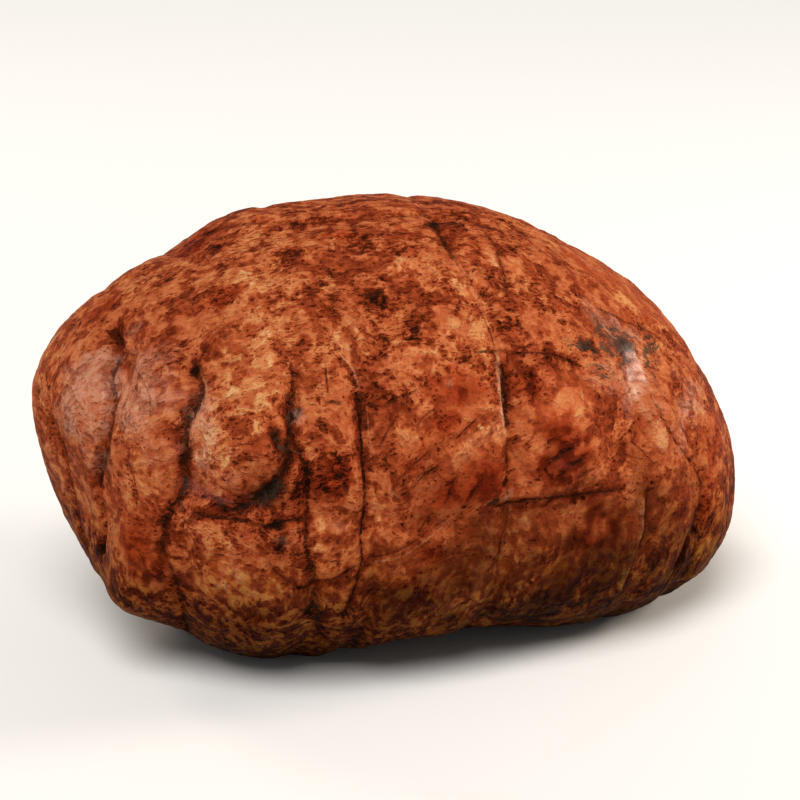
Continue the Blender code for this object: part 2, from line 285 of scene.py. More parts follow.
# Patches: (picture x, picture y, half-length mm, half-height mm, amount, tilt degrees unless level).
PATCHES = {
    "fat": (
        (244, 278, 5, 3.5, 1, 20), (283, 304, 3.2, 1.8, 1, 15), (249, 296, 3, 2, 0.8),
        (499, 382, 1.2, 5, 1), (502, 408, 1.3, 6, 1), (262, 340, 6.5, 2.6, 0.9, 35),
        (272, 360, 2.6, 3.6, 0.8), (330, 288, 3, 1.6, 0.9), (250, 398, 9.5, 6.5, 1, 10),
        (227, 447, 3.4, 6.5, 0.9, -15), (257, 432, 1.5, 4.4, 1), (402, 263, 7.5, 7.5, 0.5),
        (460, 291, 4.5, 3.5, 0.9), (462, 327, 12.5, 6.5, 1, 5), (488, 262, 3.2, 3.6, 0.9, -30),
        (520, 288, 5, 4.5, 0.8), (567, 400, 7.5, 6.8, 1), (660, 436, 4.8, 5, 0.8, -40),
        (328, 528, 7.5, 4.5, 0.75), (318, 546, 2.2, 3.2, 0.8), (377, 512, 2.2, 5.5, 0.8),
        (405, 508, 2, 2.6, 0.8), (402, 527, 2.2, 2.2, 0.7), (124, 437, 4, 3, 0.7, 20),
        (200, 440, 2.4, 7, 0.6, -10), (420, 345, 10, 4, 0.6), (522, 527, 5.2, 2.4, 0.9, -8),
        (478, 430, 6.5, 3, 0.7, 30), (628, 398, 3, 4, 0.6), (350, 335, 8, 5, 0.5, -30),
        (620, 300, 9, 6, 0.45, -25), (700, 400, 5, 7, 0.4, -50), (300, 210, 8, 2.5, 0.5, 5),
        (345, 214, 5, 2, 0.6), (226, 352, 7, 3, 0.5, 40), (230, 570, 7, 6, 0.45, -40),
        (225, 540, 6, 5, 0.4, -50),
    ),
    # Char; (274, 440) on the lobe's shaded right side and (268, 492) in its recess are painted shade.
    "char": (
        (280, 251, 10, 3.4, 0.65, 10), (262, 245, 3, 2, 0.8), (372, 240, 5.5, 4, 0.75, -20),
        (307, 207, 2.4, 1.2, 0.8), (376, 303, 17, 3.4, 0.65, 3), (440, 303, 13, 3.4, 0.5, -8),
        (194, 370, 2.6, 2, 1), (301, 413, 2.6, 2.2, 1), (286, 505, 1.1, 3.2, 1),
        (99, 552, 2.6, 2.2, 1, -25), (177, 559, 3.6, 1.4, 1), (97, 468, 1, 1.4, 0.9),
        (96, 485, 1.5, 2.2, 0.9), (135, 490, 1.5, 3.6, 0.7), (503, 483, 1.8, 1.6, 1, 35),
        (529, 485, 1.1, 1.6, 1), (624, 485, 1, 1.6, 1), (647, 490, 1.4, 1, 1),
        (574, 365, 5.5, 1.6, 0.8, -25), (545, 310, 2.6, 1.1, 0.8, -20), (301, 588, 2.4, 1.2, 1),
        (305, 570, 2.4, 0.9, 1), (315, 615, 2, 8, 0.7, 5), (495, 503, 3.4, 1.6, 0.8),
        (462, 506, 1.2, 1.2, 0.9), (335, 455, 2.6, 1.3, 0.8, -30), (318, 421, 2, 2.6, 0.6),
        (278, 524, 2.4, 1.8, 0.9), (277, 548, 2.6, 3, 0.75), (274, 440, 4.5, 8, 0.85),
        (268, 492, 6, 2.4, 0.9, 35), (695, 535, 1.8, 4, 0.8, 25), (682, 558, 1.6, 4, 0.7, 30),
        (588, 350, 9, 2.8, 1, -16), (620, 346, 8, 2.8, 1.1, -5), (218, 247, 3.4, 1.6, 0.8, 15),
        (240, 260, 8, 3, 0.5, 15), (499, 232, 7, 2.2, 0.6, -18), (170, 280, 3, 1.2, 0.7, 30),
        (195, 288, 3, 1.4, 0.7, 20), (235, 325, 6, 1.8, 0.6, 30), (436, 225, 3, 5, 0.8, -55),
        (405, 383, 12, 2.2, 0.45), (172, 334, 2.2, 1.6, 0.8, 20), (80, 322, 1.4, 1.4, 0.7),
        (112, 293, 3, 1, 0.7, 32), (370, 564, 2.6, 1.3, 0.8), (470, 495, 1.2, 3.6, 0.6, -25),
    ),
    "red": (
        (195, 242, 10, 4, 1, 28), (462, 392, 12, 6.5, 0.9), (446, 420, 6, 5, 0.9),
        (470, 485, 10, 9, 0.9, 30), (567, 458, 12, 12, 1, 20), (335, 475, 8, 7, 0.9),
        (345, 232, 6, 3, 0.9, -5), (135, 540, 10, 9, 0.8, -20), (714, 478, 6, 12, 0.8),
        (205, 495, 9, 4, 0.8, -10), (88, 524, 4, 4, 0.8), (530, 385, 6, 5, 0.7), (540, 505, 10, 3, 0.6),
        (600, 530, 14, 8, 0.7), (680, 510, 5, 9, 0.6), (300, 500, 4, 6, 0.6), (430, 560, 14, 7, 0.7, 10),
        (160, 580, 10, 7, 0.6, -35), (220, 300, 12, 3, 0.6, 30), (590, 270, 12, 3, 0.6, -32),
        (480, 245, 5, 5, 0.6), (150, 395, 3, 4, 0.5), (108, 298, 12, 3, 0.5, 35), (415, 450, 5, 5, 0.6),
        (120, 360, 2.4, 2.4, 0.8),
    ),
    # Grey film, and painted sheen at the narrow end and round the right-hand highlight.
    "grey": (
        (95, 385, 12, 15, 1, 40), (145, 405, 12, 12, 1, 25), (150, 360, 9, 6, 0.6, 35),
        (632, 388, 13, 9, 0.9, 20), (690, 400, 8, 14, 0.8, -40), (501, 400, 1.4, 9, 1),
        (205, 415, 6, 10, 0.8, 10), (612, 330, 14, 6, 0.8, -15), (262, 497, 6, 2.2, 0.7, 25),
        (135, 330, 4, 3, 0.6, 30), (72, 415, 9, 14, 1, 20), (207, 452, 6, 10, 0.7), (300, 415, 4, 3, 0.6),
        (508, 498, 1.6, 2.6, 0.9), (450, 385, 2.4, 2, 0.5), (600, 380, 8, 5, 0.4), (335, 525, 6, 4, 0.4),
        (150, 460, 7, 7, 0.4), (660, 437, 5, 5, 0.5, -40),
    ),
    # Smudges; (282, 450) on the lobe's shaded right side and (268, 492) in its recess are painted shade.
    "smudge": (
        (582, 349, 10, 3.6, 1.4, -14), (614, 345, 10, 4.4, 1.7, -8), (650, 352, 4, 5, 1.4, 20),
        (655, 376, 2, 2.2, 0.8), (606, 374, 5, 2.4, 0.9, -10), (282, 537, 3, 3.4, 0.8),
        (192, 430, 1.8, 20, 0.8, 5), (178, 500, 2, 12, 0.8, 20), (268, 492, 8, 3.2, 1.3, 35),
        (282, 450, 3, 10, 0.8), (511, 412, 1.2, 8, 0.9), (495, 500, 4, 1.8, 0.8),
        (136, 395, 5, 3, 0.5, 30), (118, 365, 2.4, 4, 0.6, 10), (316, 610, 2, 9, 0.8, 3),
    ),
    "wet": (
        (205, 495, 9, 4, 1, -10), (634, 378, 6.5, 13, 1, -15), (230, 470, 5, 8, 0.5),
        (242, 505, 6, 3, 0.5, 10), (502, 415, 1.6, 4, 0.6), (130, 380, 12, 10, 0.7, 35),
        (80, 390, 8, 14, 0.6, 20), (280, 540, 4, 4, 0.3), (570, 460, 10, 7, 0.3, 25),
        (230, 570, 12, 8, 0.35, -30),
    ),
    "fibre": (
        (450, 440, 22, 24, 1), (530, 430, 16, 26, 1), (575, 465, 16, 14, 1), (430, 540, 26, 14, 1),
        (560, 545, 26, 12, 0.5),
    ),
    # Painted shadow: shade on the lower front, along the right seam and under the lobe.
    "shadow": (
        (440, 480, 22, 12, 0.35), (470, 570, 34, 18, 0.75), (560, 470, 18, 12, 0.4),
        (555, 498, 34, 3.5, 0.75, 3), (600, 560, 34, 22, 0.9), (680, 560, 14, 22, 0.7),
        (400, 605, 26, 12, 0.8), (270, 490, 14, 10, 0.6), (560, 600, 50, 9, 1), (330, 480, 10, 16, 0.25),
        (520, 520, 18, 12, 0.6), (640, 500, 18, 12, 0.6), (250, 620, 30, 10, 0.5),
    ),
    # Tone shifts. On the front some are painted light and shade: the lobe is lighter on its lit left side
    # at (207, 452) and (225, 425) and darker on and beside its shaded right side at (275, 445) and (300,
    # 430), and (650, 380) lightens the place of the right-hand highlight.
    "tone": (
        (130, 430, 16, 18, 0.05), (225, 425, 8, 18, 0.07), (70, 370, 12, 14, -0.01),
        (610, 285, 20, 10, 0.04, -30), (650, 380, 14, 14, 0.08), (480, 300, 16, 10, 0.04),
        (330, 320, 36, 14, 0.02), (570, 250, 16, 10, 0.08, -20), (275, 445, 6, 13, -0.14),
        (240, 500, 20, 4, -0.04), (65, 420, 9, 12, -0.01), (300, 430, 4, 18, -0.06),
        (566, 458, 12, 11, -0.12), (490, 497, 14, 6, -0.12), (186, 450, 3, 20, -0.1, 5),
        (202, 366, 12, 7, -0.12, 30), (207, 452, 6, 13, 0.18), (390, 442, 8, 6, 0.05),
        (545, 300, 14, 8, 0.04, -20), (340, 485, 9, 14, -0.13), (555, 535, 16, 7, -0.05),
        (412, 446, 16, 8, 0.08), (560, 490, 26, 6, -0.07), (400, 300, 24, 5, -0.05),
        (240, 340, 18, 5, 0.04, 40), (690, 400, 8, 14, 0.02, -40), (385, 400, 8, 10, -0.04),
        (135, 475, 10, 16, 0.09), (530, 400, 7, 14, -0.08), (490, 428, 10, 6, 0.1, 35),
        (622, 455, 10, 8, -0.07), (285, 215, 20, 7, -0.09), (275, 258, 13, 6, -0.05, 10),
        (484, 404, 8, 12, -0.07), (345, 582, 12, 7, -0.06), (262, 440, 4, 10, 0.04),
    ),
    "speck": (
        (290, 250, 30, 12, 0.9, 10), (400, 290, 36, 11, 1), (470, 235, 18, 12, 1, -20),
        (545, 300, 10, 6, 0.5, -20), (160, 285, 14, 7, 0.5, 35), (380, 345, 20, 6, 0.5),
        (400, 395, 12, 7, 0.6), (260, 440, 12, 18, 0.4), (335, 450, 9, 18, 0.5), (530, 370, 12, 6, 0.5),
        (190, 430, 4, 20, 0.5), (300, 350, 10, 7, 0.5),
    ),
    "clean": (
        (100, 385, 18, 18, 1), (150, 450, 14, 12, 0.8), (462, 400, 9, 7, 0.9), (470, 470, 14, 14, 0.8),
        (610, 280, 26, 12, 1, -30), (567, 400, 12, 9, 1), (640, 300, 18, 14, 1, -35),
        (600, 330, 14, 6, 0.7, -10), (660, 420, 14, 16, 1), (200, 320, 10, 5, 0.6, 30),
        (462, 325, 10, 5, 0.7), (135, 540, 12, 10, 0.8), (328, 525, 9, 7, 0.6), (240, 400, 8, 5, 0.5),
        (440, 500, 18, 14, 0.8), (560, 450, 18, 14, 0.7), (600, 550, 36, 20, 1), (450, 570, 34, 14, 0.7),
        (240, 580, 18, 12, 0.4), (700, 480, 12, 20, 0.6), (250, 345, 8, 6, 0.6, 35),
    ),
}

camera_back = Vector((
    math.sin(AZIMUTH) * math.cos(ELEVATION),
    -math.cos(AZIMUTH) * math.cos(ELEVATION),
    math.sin(ELEVATION),
))
camera_right = Vector((math.cos(AZIMUTH), math.sin(AZIMUTH), 0.0))
camera_up = camera_back.cross(camera_right)


def camera_place():
    """Where the camera stands, so that the ham lies in the picture as in the photograph."""
    low, high = (Vector(corner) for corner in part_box("ham"))
    aim = (low + high) / 2
    aim += camera_right * AIM_RIGHT_PX / PIXELS_PER_METRE + camera_up * AIM_UP_PX / PIXELS_PER_METRE
    return aim + camera_back * DISTANCE


camera_eye = camera_place()


def pixel_ray(px, py):
    """The direction from the camera through a pixel."""
    focal_px = PIXELS_PER_METRE * DISTANCE
    half = PICTURE_PX / 2
    direction = camera_right * (px - half) / focal_px - camera_up * (py - half) / focal_px - camera_back
    return direction.normalized()


def make_camera():
    data = bpy.data.cameras.new("camera")
    data.sensor_width = SENSOR_MM
    data.lens = SENSOR_MM * PIXELS_PER_METRE * DISTANCE / PICTURE_PX
    camera = bpy.data.objects.new("camera", data)
    camera.location = camera_eye
    camera.rotation_euler = camera_back.to_track_quat("Z", "Y").to_euler()
    bpy.context.scene.collection.objects.link(camera)
    bpy.context.scene.camera = camera


def even_mesh(node):
    """The solid's surface as an even, fine mesh."""
    build = bmesh.new()
    build.from_mesh(node.data)
    bmesh.ops.remove_doubles(build, verts=build.verts, dist=WELD)
    rough = bpy.data.meshes.new("ham_rough")
    build.to_mesh(rough)
    build.free()
    skin = bpy.data.objects.new("ham_skin", rough)
    bpy.context.scene.collection.objects.link(skin)
    remesh = skin.modifiers.new("even", "REMESH")
    remesh.mode = "VOXEL"
    remesh.voxel_size = VOXEL
    evaluated = skin.evaluated_get(bpy.context.evaluated_depsgraph_get())
    fine = bpy.data.meshes.new_from_object(evaluated)
    skin.modifiers.clear()
    skin.data = fine
    fine.materials.clear()
    fine.name = "ham_skin"
    bpy.data.meshes.remove(rough)
    return skin


def read_vectors(items, name):
    values = np.empty(len(items) * 3)
    items.foreach_get(name, values)
    return values.reshape(-1, 3)


def write_points(mesh, points):
    mesh.vertices.foreach_set("co", points.ravel())
    mesh.update()


def smooth(mesh):
    """Evens the surface out without shrinking it."""
    edges = np.empty(len(mesh.edges) * 2, dtype=np.int64)
    mesh.edges.foreach_get("vertices", edges)
    first, second = edges.reshape(-1, 2).T
    points = read_vectors(mesh.vertices, "co")
    count = len(points)
    neighbours = np.bincount(first, minlength=count) + np.bincount(second, minlength=count)
    for step in (SMOOTH_STEP, UNSMOOTH_STEP) * SMOOTH_ROUNDS:
        for axis in range(3):
            values = points[:, axis]
            total = np.bincount(first, values[second], count) + np.bincount(second, values[first], count)
            points[:, axis] = values + step * (total / neighbours - values)
    write_points(mesh, points)


def smooth_step(t):
    t = np.clip(t, 0.0, 1.0)
    return t * t * (3.0 - 2.0 * t)


def through(points, spacing):
    """Points close together on a smooth curve through the given ones."""
    points = [np.array(point, float) for point in points]
    ends = [2 * points[0] - points[1], *points, 2 * points[-1] - points[-2]]
    curve = []
    for before, start, end, after in zip(ends, ends[1:], ends[2:], ends[3:]):
        steps = max(2, round(np.linalg.norm(end - start) / spacing))
        for t in np.arange(steps) / steps:
            curve.append(0.5 * (
                2 * start
                + (end - before) * t
                + (2 * before - 5 * start + 4 * end - after) * t ** 2
                + (3 * start - before - 3 * end + after) * t ** 3
            ))
    return [*curve, points[-1]]


class Skin:
    """The ham's fine surface before its relief: its points, and ways to find a place on it."""

    def __init__(self, skin):
        self.mesh = skin.data
        self.points = read_vectors(self.mesh.vertices, "co")
        self.normals = read_vectors(self.mesh.vertex_normals, "vector")
        self.tree = BVHTree.FromObject(skin, bpy.context.evaluated_depsgraph_get())
        noise.seed_set(SWAY_SEED)
        self.sway = np.array([
            noise.noise_vector(Vector(point) * SWAY_BROAD)
            + noise.noise_vector(Vector(point) * SWAY_FINE) * SWAY_FINE_SHARE
            for point in self.points
        ])

    def seen_at(self, px, py):
        """The point of the meat and its normal at a pixel of the photograph, or None off the meat."""
        point, normal, _, _ = self.tree.ray_cast(camera_eye, pixel_ray(px, py))
        return None if point is None else (np.array(point), np.array(normal))

    def at(self, x, degrees):
        """The point of the meat and its normal at an angle round it: 0 front, 90 top, 180 back."""
        low = self.tree.ray_cast(Vector((x, 0.0, -1.0)), Vector((0.0, 0.0, 1.0)))[0]
        high = self.tree.ray_cast(Vector((x, 0.0, 1.0)), Vector((0.0, 0.0, -1.0)))[0]
        middle = (low + high) / 2
        angle = math.radians(degrees)
        outward = Vector((0.0, -math.cos(angle), math.sin(angle)))
        point, normal, _, _ = self.tree.ray_cast(middle, outward)
        return np.array(point), np.array(normal)


def line_field(skin, line):
    """Each near vertex's signed distance from a line on the meat, and how much the line counts there."""
    places = np.array([place for place, _ in line])
    normals = np.array([normal for _, normal in line])
    sides = np.cross(normals, np.gradient(places, axis=0))
    sides /= np.linalg.norm(sides, axis=1)[:, None]
    run = np.concatenate([[0.0], np.cumsum(np.linalg.norm(np.diff(places, axis=0), axis=1))])
    low, high = places.min(0) - LINE_REACH, places.max(0) + LINE_REACH
    near = np.flatnonzero(np.all((skin.points > low) & (skin.points < high), axis=1))
    offsets = skin.points[near][:, None, :] - places[None, :, :]
    closest = np.argmin((offsets ** 2).sum(2), axis=1)
    offset = offsets[np.arange(len(near)), closest]
    distance = np.linalg.norm(offset, axis=1)
    kept = distance < LINE_REACH
    near, closest, offset, distance = near[kept], closest[kept], offset[kept], distance[kept]
    sign = np.where((offset * sides[closest]).sum(1) < 0.0, -1.0, 1.0)
    from_end = np.minimum(run[closest], run[-1] - run[closest])
    end_fade = smooth_step(from_end / LINE_END_FADE + LINE_HEAD_START)
    weight = end_fade * smooth_step(2.0 - 2.0 * distance / LINE_REACH)
    return near, sign * distance, weight


def line_on_meat(skin, pixels):
    places = (skin.seen_at(px, py) for px, py in through(pixels, LINE_STEP_PX))
    return [place for place in places if place is not None]


def string_marks(skin):
    """Lines on the meat where the strings ran on the sides that the photograph doesn't show."""
    for place, lean, tilt, bow in ROUND_STRINGS:
        line = []
        for degrees in np.arange(ROUND_FROM_DEG, ROUND_TO_DEG, ROUND_STEP_DEG):
            angle = math.radians(degrees)
            x = place + lean * math.cos(angle) + tilt * math.sin(angle) + bow * math.cos(2 * angle)
            line.append(skin.at(x, degrees))
        yield line
    for degrees, start, end in LONG_STRINGS:
        yield [skin.at(x, degrees) for x in np.arange(start, end, LONG_STEP)]


def patch_field(skin, place, normal, half_length, half_height, tilt, raggedness=RAGGEDNESS):
    """How much each vertex lies in a patch: 1 in its middle, 0.37 at its ragged rim.

    The half sizes are in mm, and tilt is in degrees from the picture's level.
    """
    half_length *= MM
    half_height *= MM
    tilt = math.radians(tilt)
    across = np.array(camera_right)
    across = across - normal * (across @ normal)
    across /= np.linalg.norm(across)
    upwards = np.cross(normal, across)
    turned = across * math.cos(tilt) + upwards * math.sin(tilt)
    other = np.cross(normal, turned)
    offset = skin.points - place + skin.sway * (raggedness * math.sqrt(half_length * half_height))
    along = offset @ turned / half_length
    aside = offset @ other / half_height
    deep = offset @ normal / (half_length + half_height)
    return np.exp(-along ** 2 - aside ** 2 - deep ** 2)


def lean_to_camera(normal):
    return float(normal @ np.array(camera_back))


def strewn_patches(skin, kind, chance):
    """Places, normals and sizes of the patches of one kind on the sides away from the camera."""
    count, sizes, amounts = SCATTER.get(kind, NO_SCATTER)
    found = []
    while len(found) < count:
        place, normal = skin.at(chance.uniform(-SCATTER_X, SCATTER_X), chance.uniform(0.0, 360.0))
        half_length = chance.uniform(*sizes)
        half_height = half_length * chance.uniform(*SCATTER_HEIGHTS)
        tilt = chance.uniform(-SCATTER_TILT_DEG, SCATTER_TILT_DEG)
        amount = chance.uniform(*amounts)
        if lean_to_camera(normal) < UNSEEN:
            found.append((place, normal, half_length, half_height, tilt, amount))
    return found


def seen_patches(skin, kind):
    """Places, normals and sizes of the patches of one kind that the photograph shows."""
    for px, py, half_length, half_height, amount, *tilt in PATCHES[kind]:
        place, normal = skin.seen_at(px, py)
        lean = max(LEAST_LEAN, lean_to_camera(normal))
        yield place, normal, half_length, half_height / lean, tilt[0] if tilt else 0, amount


def paint_patches(skin):
    """Each kind of patch as a field: everywhere the strongest patch counts, but tones add up."""
    fields = {}
    chance = random.Random(SCATTER_SEED)
    for kind in PATCHES:
        field = np.zeros(len(skin.points))
        for *patch, amount in (*seen_patches(skin, kind), *strewn_patches(skin, kind, chance)):
            part = amount * patch_field(skin, *patch)
            field = field + part if kind == "tone" else np.maximum(field, part)
        fields[kind] = field
    return fields


def crumple(points):
    """The unevenness of cooked skin, in metres."""
    return MM * np.array([
        sum(
            height * noise.fractal(Vector((x * along + shift, y * across, z * across)), *fractal)
            for height, along, across, shift, *fractal in CRUMPLES
        )
        for x, y, z in points
    ])


class LineLayers:
    """Line fields kept apart, so that lines near each other never share one."""

    def __init__(self, count):
        self.count = count
        self.layers = []

    def add(self, near, side, strength):
        for layer_side, layer_strength, taken in self.layers:
            if not taken[near].any():
                break
        else:
            layer_side = np.full(self.count, FAR_SIDE)
            layer_strength = np.zeros(self.count)
            taken = np.zeros(self.count, dtype=bool)
            self.layers.append((layer_side, layer_strength, taken))
        layer_side[near] = np.clip(side, -FAR_SIDE, FAR_SIDE)
        layer_strength[near] = strength
        taken[near] = True

    def fields(self, kind):
        named = {}
        for index, (side, strength, _) in enumerate(self.layers):
            named[f"{kind}_side_{index}"] = side
            named[f"{kind}_{index}"] = strength
        return named


def bell(distance, half_width):
    return np.exp(-(distance / half_width) ** 2)


def shape_skin(skin):
    """Moves the relief into the surface, and returns the field of scorch and painted shade and the crease
    and ridge layers.
    """
    count = len(skin.points)
    height = crumple(skin.points)
    scorch = np.zeros(count)
    creases = LineLayers(count)
    ridges = LineLayers(count)
    marks = [(line_on_meat(skin, pixels), look) for pixels, *look in CREASES.values()]
    marks += [(line, STRING_MARK) for line in string_marks(skin)]
    for line, (depth, half_width, line_width, darkness, scorched_and_shaded) in marks:
        near, distance, weight = line_field(skin, line)
        height[near] -= depth * MM * weight * bell(distance, half_width * MM)
        burnt_and_shaded = scorched_and_shaded * weight * bell(distance, SCORCH_AND_SHADE_SPREAD * half_width * MM)
        scorch[near] = np.maximum(scorch[near], burnt_and_shaded)
        creases.add(near, distance / (line_width * MM), weight * darkness)
    for pixels, rise, half_width, line_width, paleness in RIDGES.values():
        near, distance, weight = line_field(skin, line_on_meat(skin, pixels))
        height[near] += rise * MM * weight * bell(distance, half_width * MM)
        ridges.add(near, distance / (line_width * MM), weight * paleness)
    for px, py, half_length, half_height, tilt, rise in LOBES:
        lobe = patch_field(skin, *skin.seen_at(px, py), half_length, half_height, tilt, raggedness=0.0)
        height += rise * MM * lobe
    settle = smooth_step(skin.points[:, 2] / REST_FADE)
    moved = skin.points + skin.normals * (height * settle)[:, None]
    moved[:, 2] = np.maximum(moved[:, 2], 0.0)
    write_points(skin.mesh, moved)
    return scorch, creases, ridges


def keep_field(mesh, name, values):
    attribute = mesh.attributes.new(name, "FLOAT", "POINT")
    attribute.data.foreach_set("value", values.astype(np.float32))


def linear(red, green, blue):
    """A colour given as 0 to 255 in the picture's own scale, as the shader wants it."""
    def channel(value):
        value /= 255.0
        return value / 12.92 if value <= 0.04045 else ((value + 0.055) / 1.055) ** 2.4
    return (channel(red), channel(green), channel(blue), 1.0)


# The rind's colours from charred to fat: (share of the tone's range, colour).
TONES = (
    (0.00, linear(20, 8, 3)), (0.17, linear(54, 20, 8)), (0.34, linear(103, 36, 14)),
    (0.50, linear(148, 64, 32)), (0.66, linear(176, 93, 53)), (0.82, linear(192, 125, 75)),
    (1.00, linear(203, 156, 105)),
)
MIDDLE_TONE = 0.56
DARKEST_TONE = 0.03
# The dark of the crease lines, partly painted shade in them.
BLACK = linear(28, 14, 8)
# A grey film's colour, also used as painted sheen where light glances off the skin.
GREY_AND_SHEEN = linear(188, 131, 104)
SMUDGE = linear(56, 46, 38)
PALE = linear(208, 146, 104)
PALE_SHARE = 0.5
RED_TINT = (1.02, 0.68, 0.55, 1.0)
OLIVE_TINT = (1.0, 1.20, 0.55, 1.0)

# The power of each colour channel in shade, so that it turns redder as it darkens.
WARM_POWERS = (1.0, 1.06, 1.2)

# The place is shifted by noise before other noise is read there: (waves per metre, shift).
WAVES = (45, 0.008)
RUFFLES = (330, 0.0016)

# Noise on the meat: (waves per metre, detail, roughness).
BROAD = (26, 2, 0.5)
DENSITY = (66, 4, 0.62)
PATCHY = (85, 2, 0.55)
MOTTLE = (185, 2, 0.55)
RAGGED = (420, 3, 0.6)
GRAIN = (430, 2, 0.5)
SPECKS = (560, 1, 0.5)
FINE = (1000, 1, 0.5)

# Ways that noise is stretched: (turn about the ham's width in degrees, its size along X, Y and Z in mm).
LENGTHWISE = (4, (2.6, 0.85, 0.85))
SLANTING = (38, (3, 0.85, 0.85))
UPRIGHT = (-8, (1.05, 1.05, 4))
POOLED = (-8, (3.4, 3.4, 10))

# Stretched noise: (scale, detail, roughness).
STREAKS = (0.5, 3, 0.6)
STROKES = (0.72, 2, 0.55)
POOLS = (1, 2, 0.6)

# Smooth slopes: (start, end, value before the start, value past the end).
SLOPES = {
    "low": (0.02, 0.085, 1, 0),
    "patches": (0.45, 0.56, -0.095, 0.072),
    "spots": (0.4, 0.6, -0.060, 0.055),
    "contrast_low": (0, 1, 1, 1.1),
    "contrast_clean": (0, 0.9, 1, 0.45),
    "fat": (0.28, 0.62, 0, 0.17),
    "red": (0.28, 0.66, 0, -0.13),
    "char": (0.25, 0.85, 0, -0.3),
    "scorch": (0.36, 0.62, 0.35, 1),
    "strokes": (0.61, 0.68, 0, 1),
    "specks": (0.64, 0.72, 0, 1),
    "red_tint": (0.1, 0.9, 0, 0.8),
    "film": (0.36, 0.64, 0.45, 1),
    "grey": (0.05, 0.85, 0, 0.72),
    "smudge_streak": (0.4, 0.58, 0.15, 1),
    "smudge": (0.2, 0.75, 0, 0.8),
    "break_up": (0.4, 0.56, 0.25, 1),
    "ridge": (0.4, 1.3, 1, 0),
    "crease": (0.3, 1.3, 1, 0),
    "olive": (0.42, 0.6, 0, 1),
    "run": (0.38, 0.56, 0.52, 1),
    "underside": (-0.008, 0.083, 0.04, 1),
    "shadow": (0, 1, 1, 0.22),
    "dry": (0.35, 0.7, 0.46, 0.66),
    "wet": (0.15, 0.8, 0, 1),
}

# How much darker a place with scorch and painted shade and a stroke are, and how ragged a line's edge is,
# in half-widths.
SCORCH_AND_SHADE_TONE = -0.26
STROKE_TONE = -0.20
LINE_RAGGEDNESS = 3.6

# How much thicker strokes and specks lie in a patch of each kind, and how much that matters.
THICKER = {"char": 0.16, "clean": -0.14, "speck": 0.10}
DENSITY_SHARE = 0.6

WET_ROUGHNESS = 0.30
SPECULAR_LEVEL = 0.01
WET_COAT = 0.42
COAT_ROUGHNESS = 0.28

# The heights in mm of the bumps of streaks, mottling, grain and fine grain, and of the pits of strokes and
# slits, under the mesh's own relief.
BUMPS = (1.1, 2.2, 1.2, 0.3, 0.2, 0.7)


class Nodes:
    """Adds and joins the shader nodes of one material."""

    def __init__(self, tree):
        self.tree = tree

    def feed(self, socket, value):
        if isinstance(value, bpy.types.NodeSocket):
            self.tree.links.new(value, socket)
        else:
            socket.default_value = value

    def add(self, kind, inputs, output=0, **settings):
        """One output of a new node that has these settings and inputs."""
        node = self.tree.nodes.new("ShaderNode" + kind)
        for name, value in settings.items():
            setattr(node, name, value)
        for name, value in inputs.items():
            self.feed(node.inputs[name], value)
        return node.outputs[output]

    def field(self, name):
        return self.add("Attribute", {}, "Fac", attribute_name=name)

    def math(self, operation, first, second=0.0):
        return self.add("Math", {0: first, 1: second}, operation=operation)

    def sum(self, first, second):
        return self.math("ADD", first, second)

    def product(self, first, second):
        return self.math("MULTIPLY", first, second)

    def largest(self, first, second):
        return self.math("MAXIMUM", first, second)

    def total(self, start, *parts):
        """A start value plus each noise about its middle times its weight."""
        value = start
        for weight, part in parts:
            value = self.sum(self.product(self.math("SUBTRACT", part, 0.5), weight), value)
        return value

    def slope(self, name, value):
        sockets = ("From Min", "From Max", "To Min", "To Max")
        inputs = {"Value": value, **dict(zip(sockets, SLOPES[name]))}
        return self.add("MapRange", inputs, "Result", interpolation_type="SMOOTHSTEP")

    def stretched(self, place, turn, sizes):
        """The place turned about the ham's width and divided by sizes in mm, to stretch noise on it."""
        turned = self.add("Mapping", {"Vector": place, "Rotation": (0.0, math.radians(turn), 0.0)})
        shares = tuple(1.0 / MM / size for size in sizes)
        return self.add("VectorMath", {0: turned, 1: shares}, operation="MULTIPLY")

    def noise(self, vector, scale, detail, roughness, output="Fac"):
        inputs = {"Vector": vector, "Scale": scale, "Detail": detail, "Roughness": roughness}
        return self.add("TexNoise", inputs, output)

    def shifted(self, place, source, waves, reach):
        """The place moved by noise on the source, up to half of reach each way."""
        colour = self.noise(source, waves, 2.0, 0.5, "Color")
        shift = self.add("VectorMath", {0: colour, 1: (0.5, 0.5, 0.5)}, operation="SUBTRACT")
        shift = self.add("VectorMath", {0: shift, "Scale": reach}, operation="SCALE")
        return self.add("VectorMath", {0: place, 1: shift}, operation="ADD")

    def blend(self, share, first, second, mode="MIX"):
        inputs = {"Factor": share, "A": first, "B": second}
        return self.add("Mix", inputs, "Result", data_type="RGBA", blend_type=mode)

    def tinted(self, share, colour, tint):
        return self.blend(share, colour, self.blend(1.0, colour, tint, "MULTIPLY"))

    def between(self, share, first, second):
        """A number that goes from first to second."""
        return self.add("Mix", {"Factor": share, 2: first, 3: second}, data_type="FLOAT")

    def ramp(self, value, stops):
        """A colour from the stops, each a share of the range and a colour."""
        node = self.tree.nodes.new("ShaderNodeValToRGB")
        elements = node.color_ramp.elements
        while len(elements) < len(stops):
            elements.new(1.0)
        for element, (share, colour) in zip(elements, stops):
            element.position = share
            element.color = colour
        self.feed(node.inputs["Fac"], value)
        return node.outputs["Color"]

    def warm_shade(self, value):
        """A shade that turns redder as it darkens."""
        channels = {index: self.math("POWER", value, power) for index, power in enumerate(WARM_POWERS)}
        return self.add("CombineColor", channels)

    def bump(self, height, distance, normal=None):
        inputs = {"Strength": 1.0, "Distance": distance, "Height": height}
        if normal is not None:
            inputs["Normal"] = normal
        return self.add("Bump", inputs, "Normal")


def new_material(name):
    """A new material and its main shader."""
    material = bpy.data.materials.new(name)
    material.use_nodes = True
    return material, material.node_tree.nodes["Principled BSDF"]


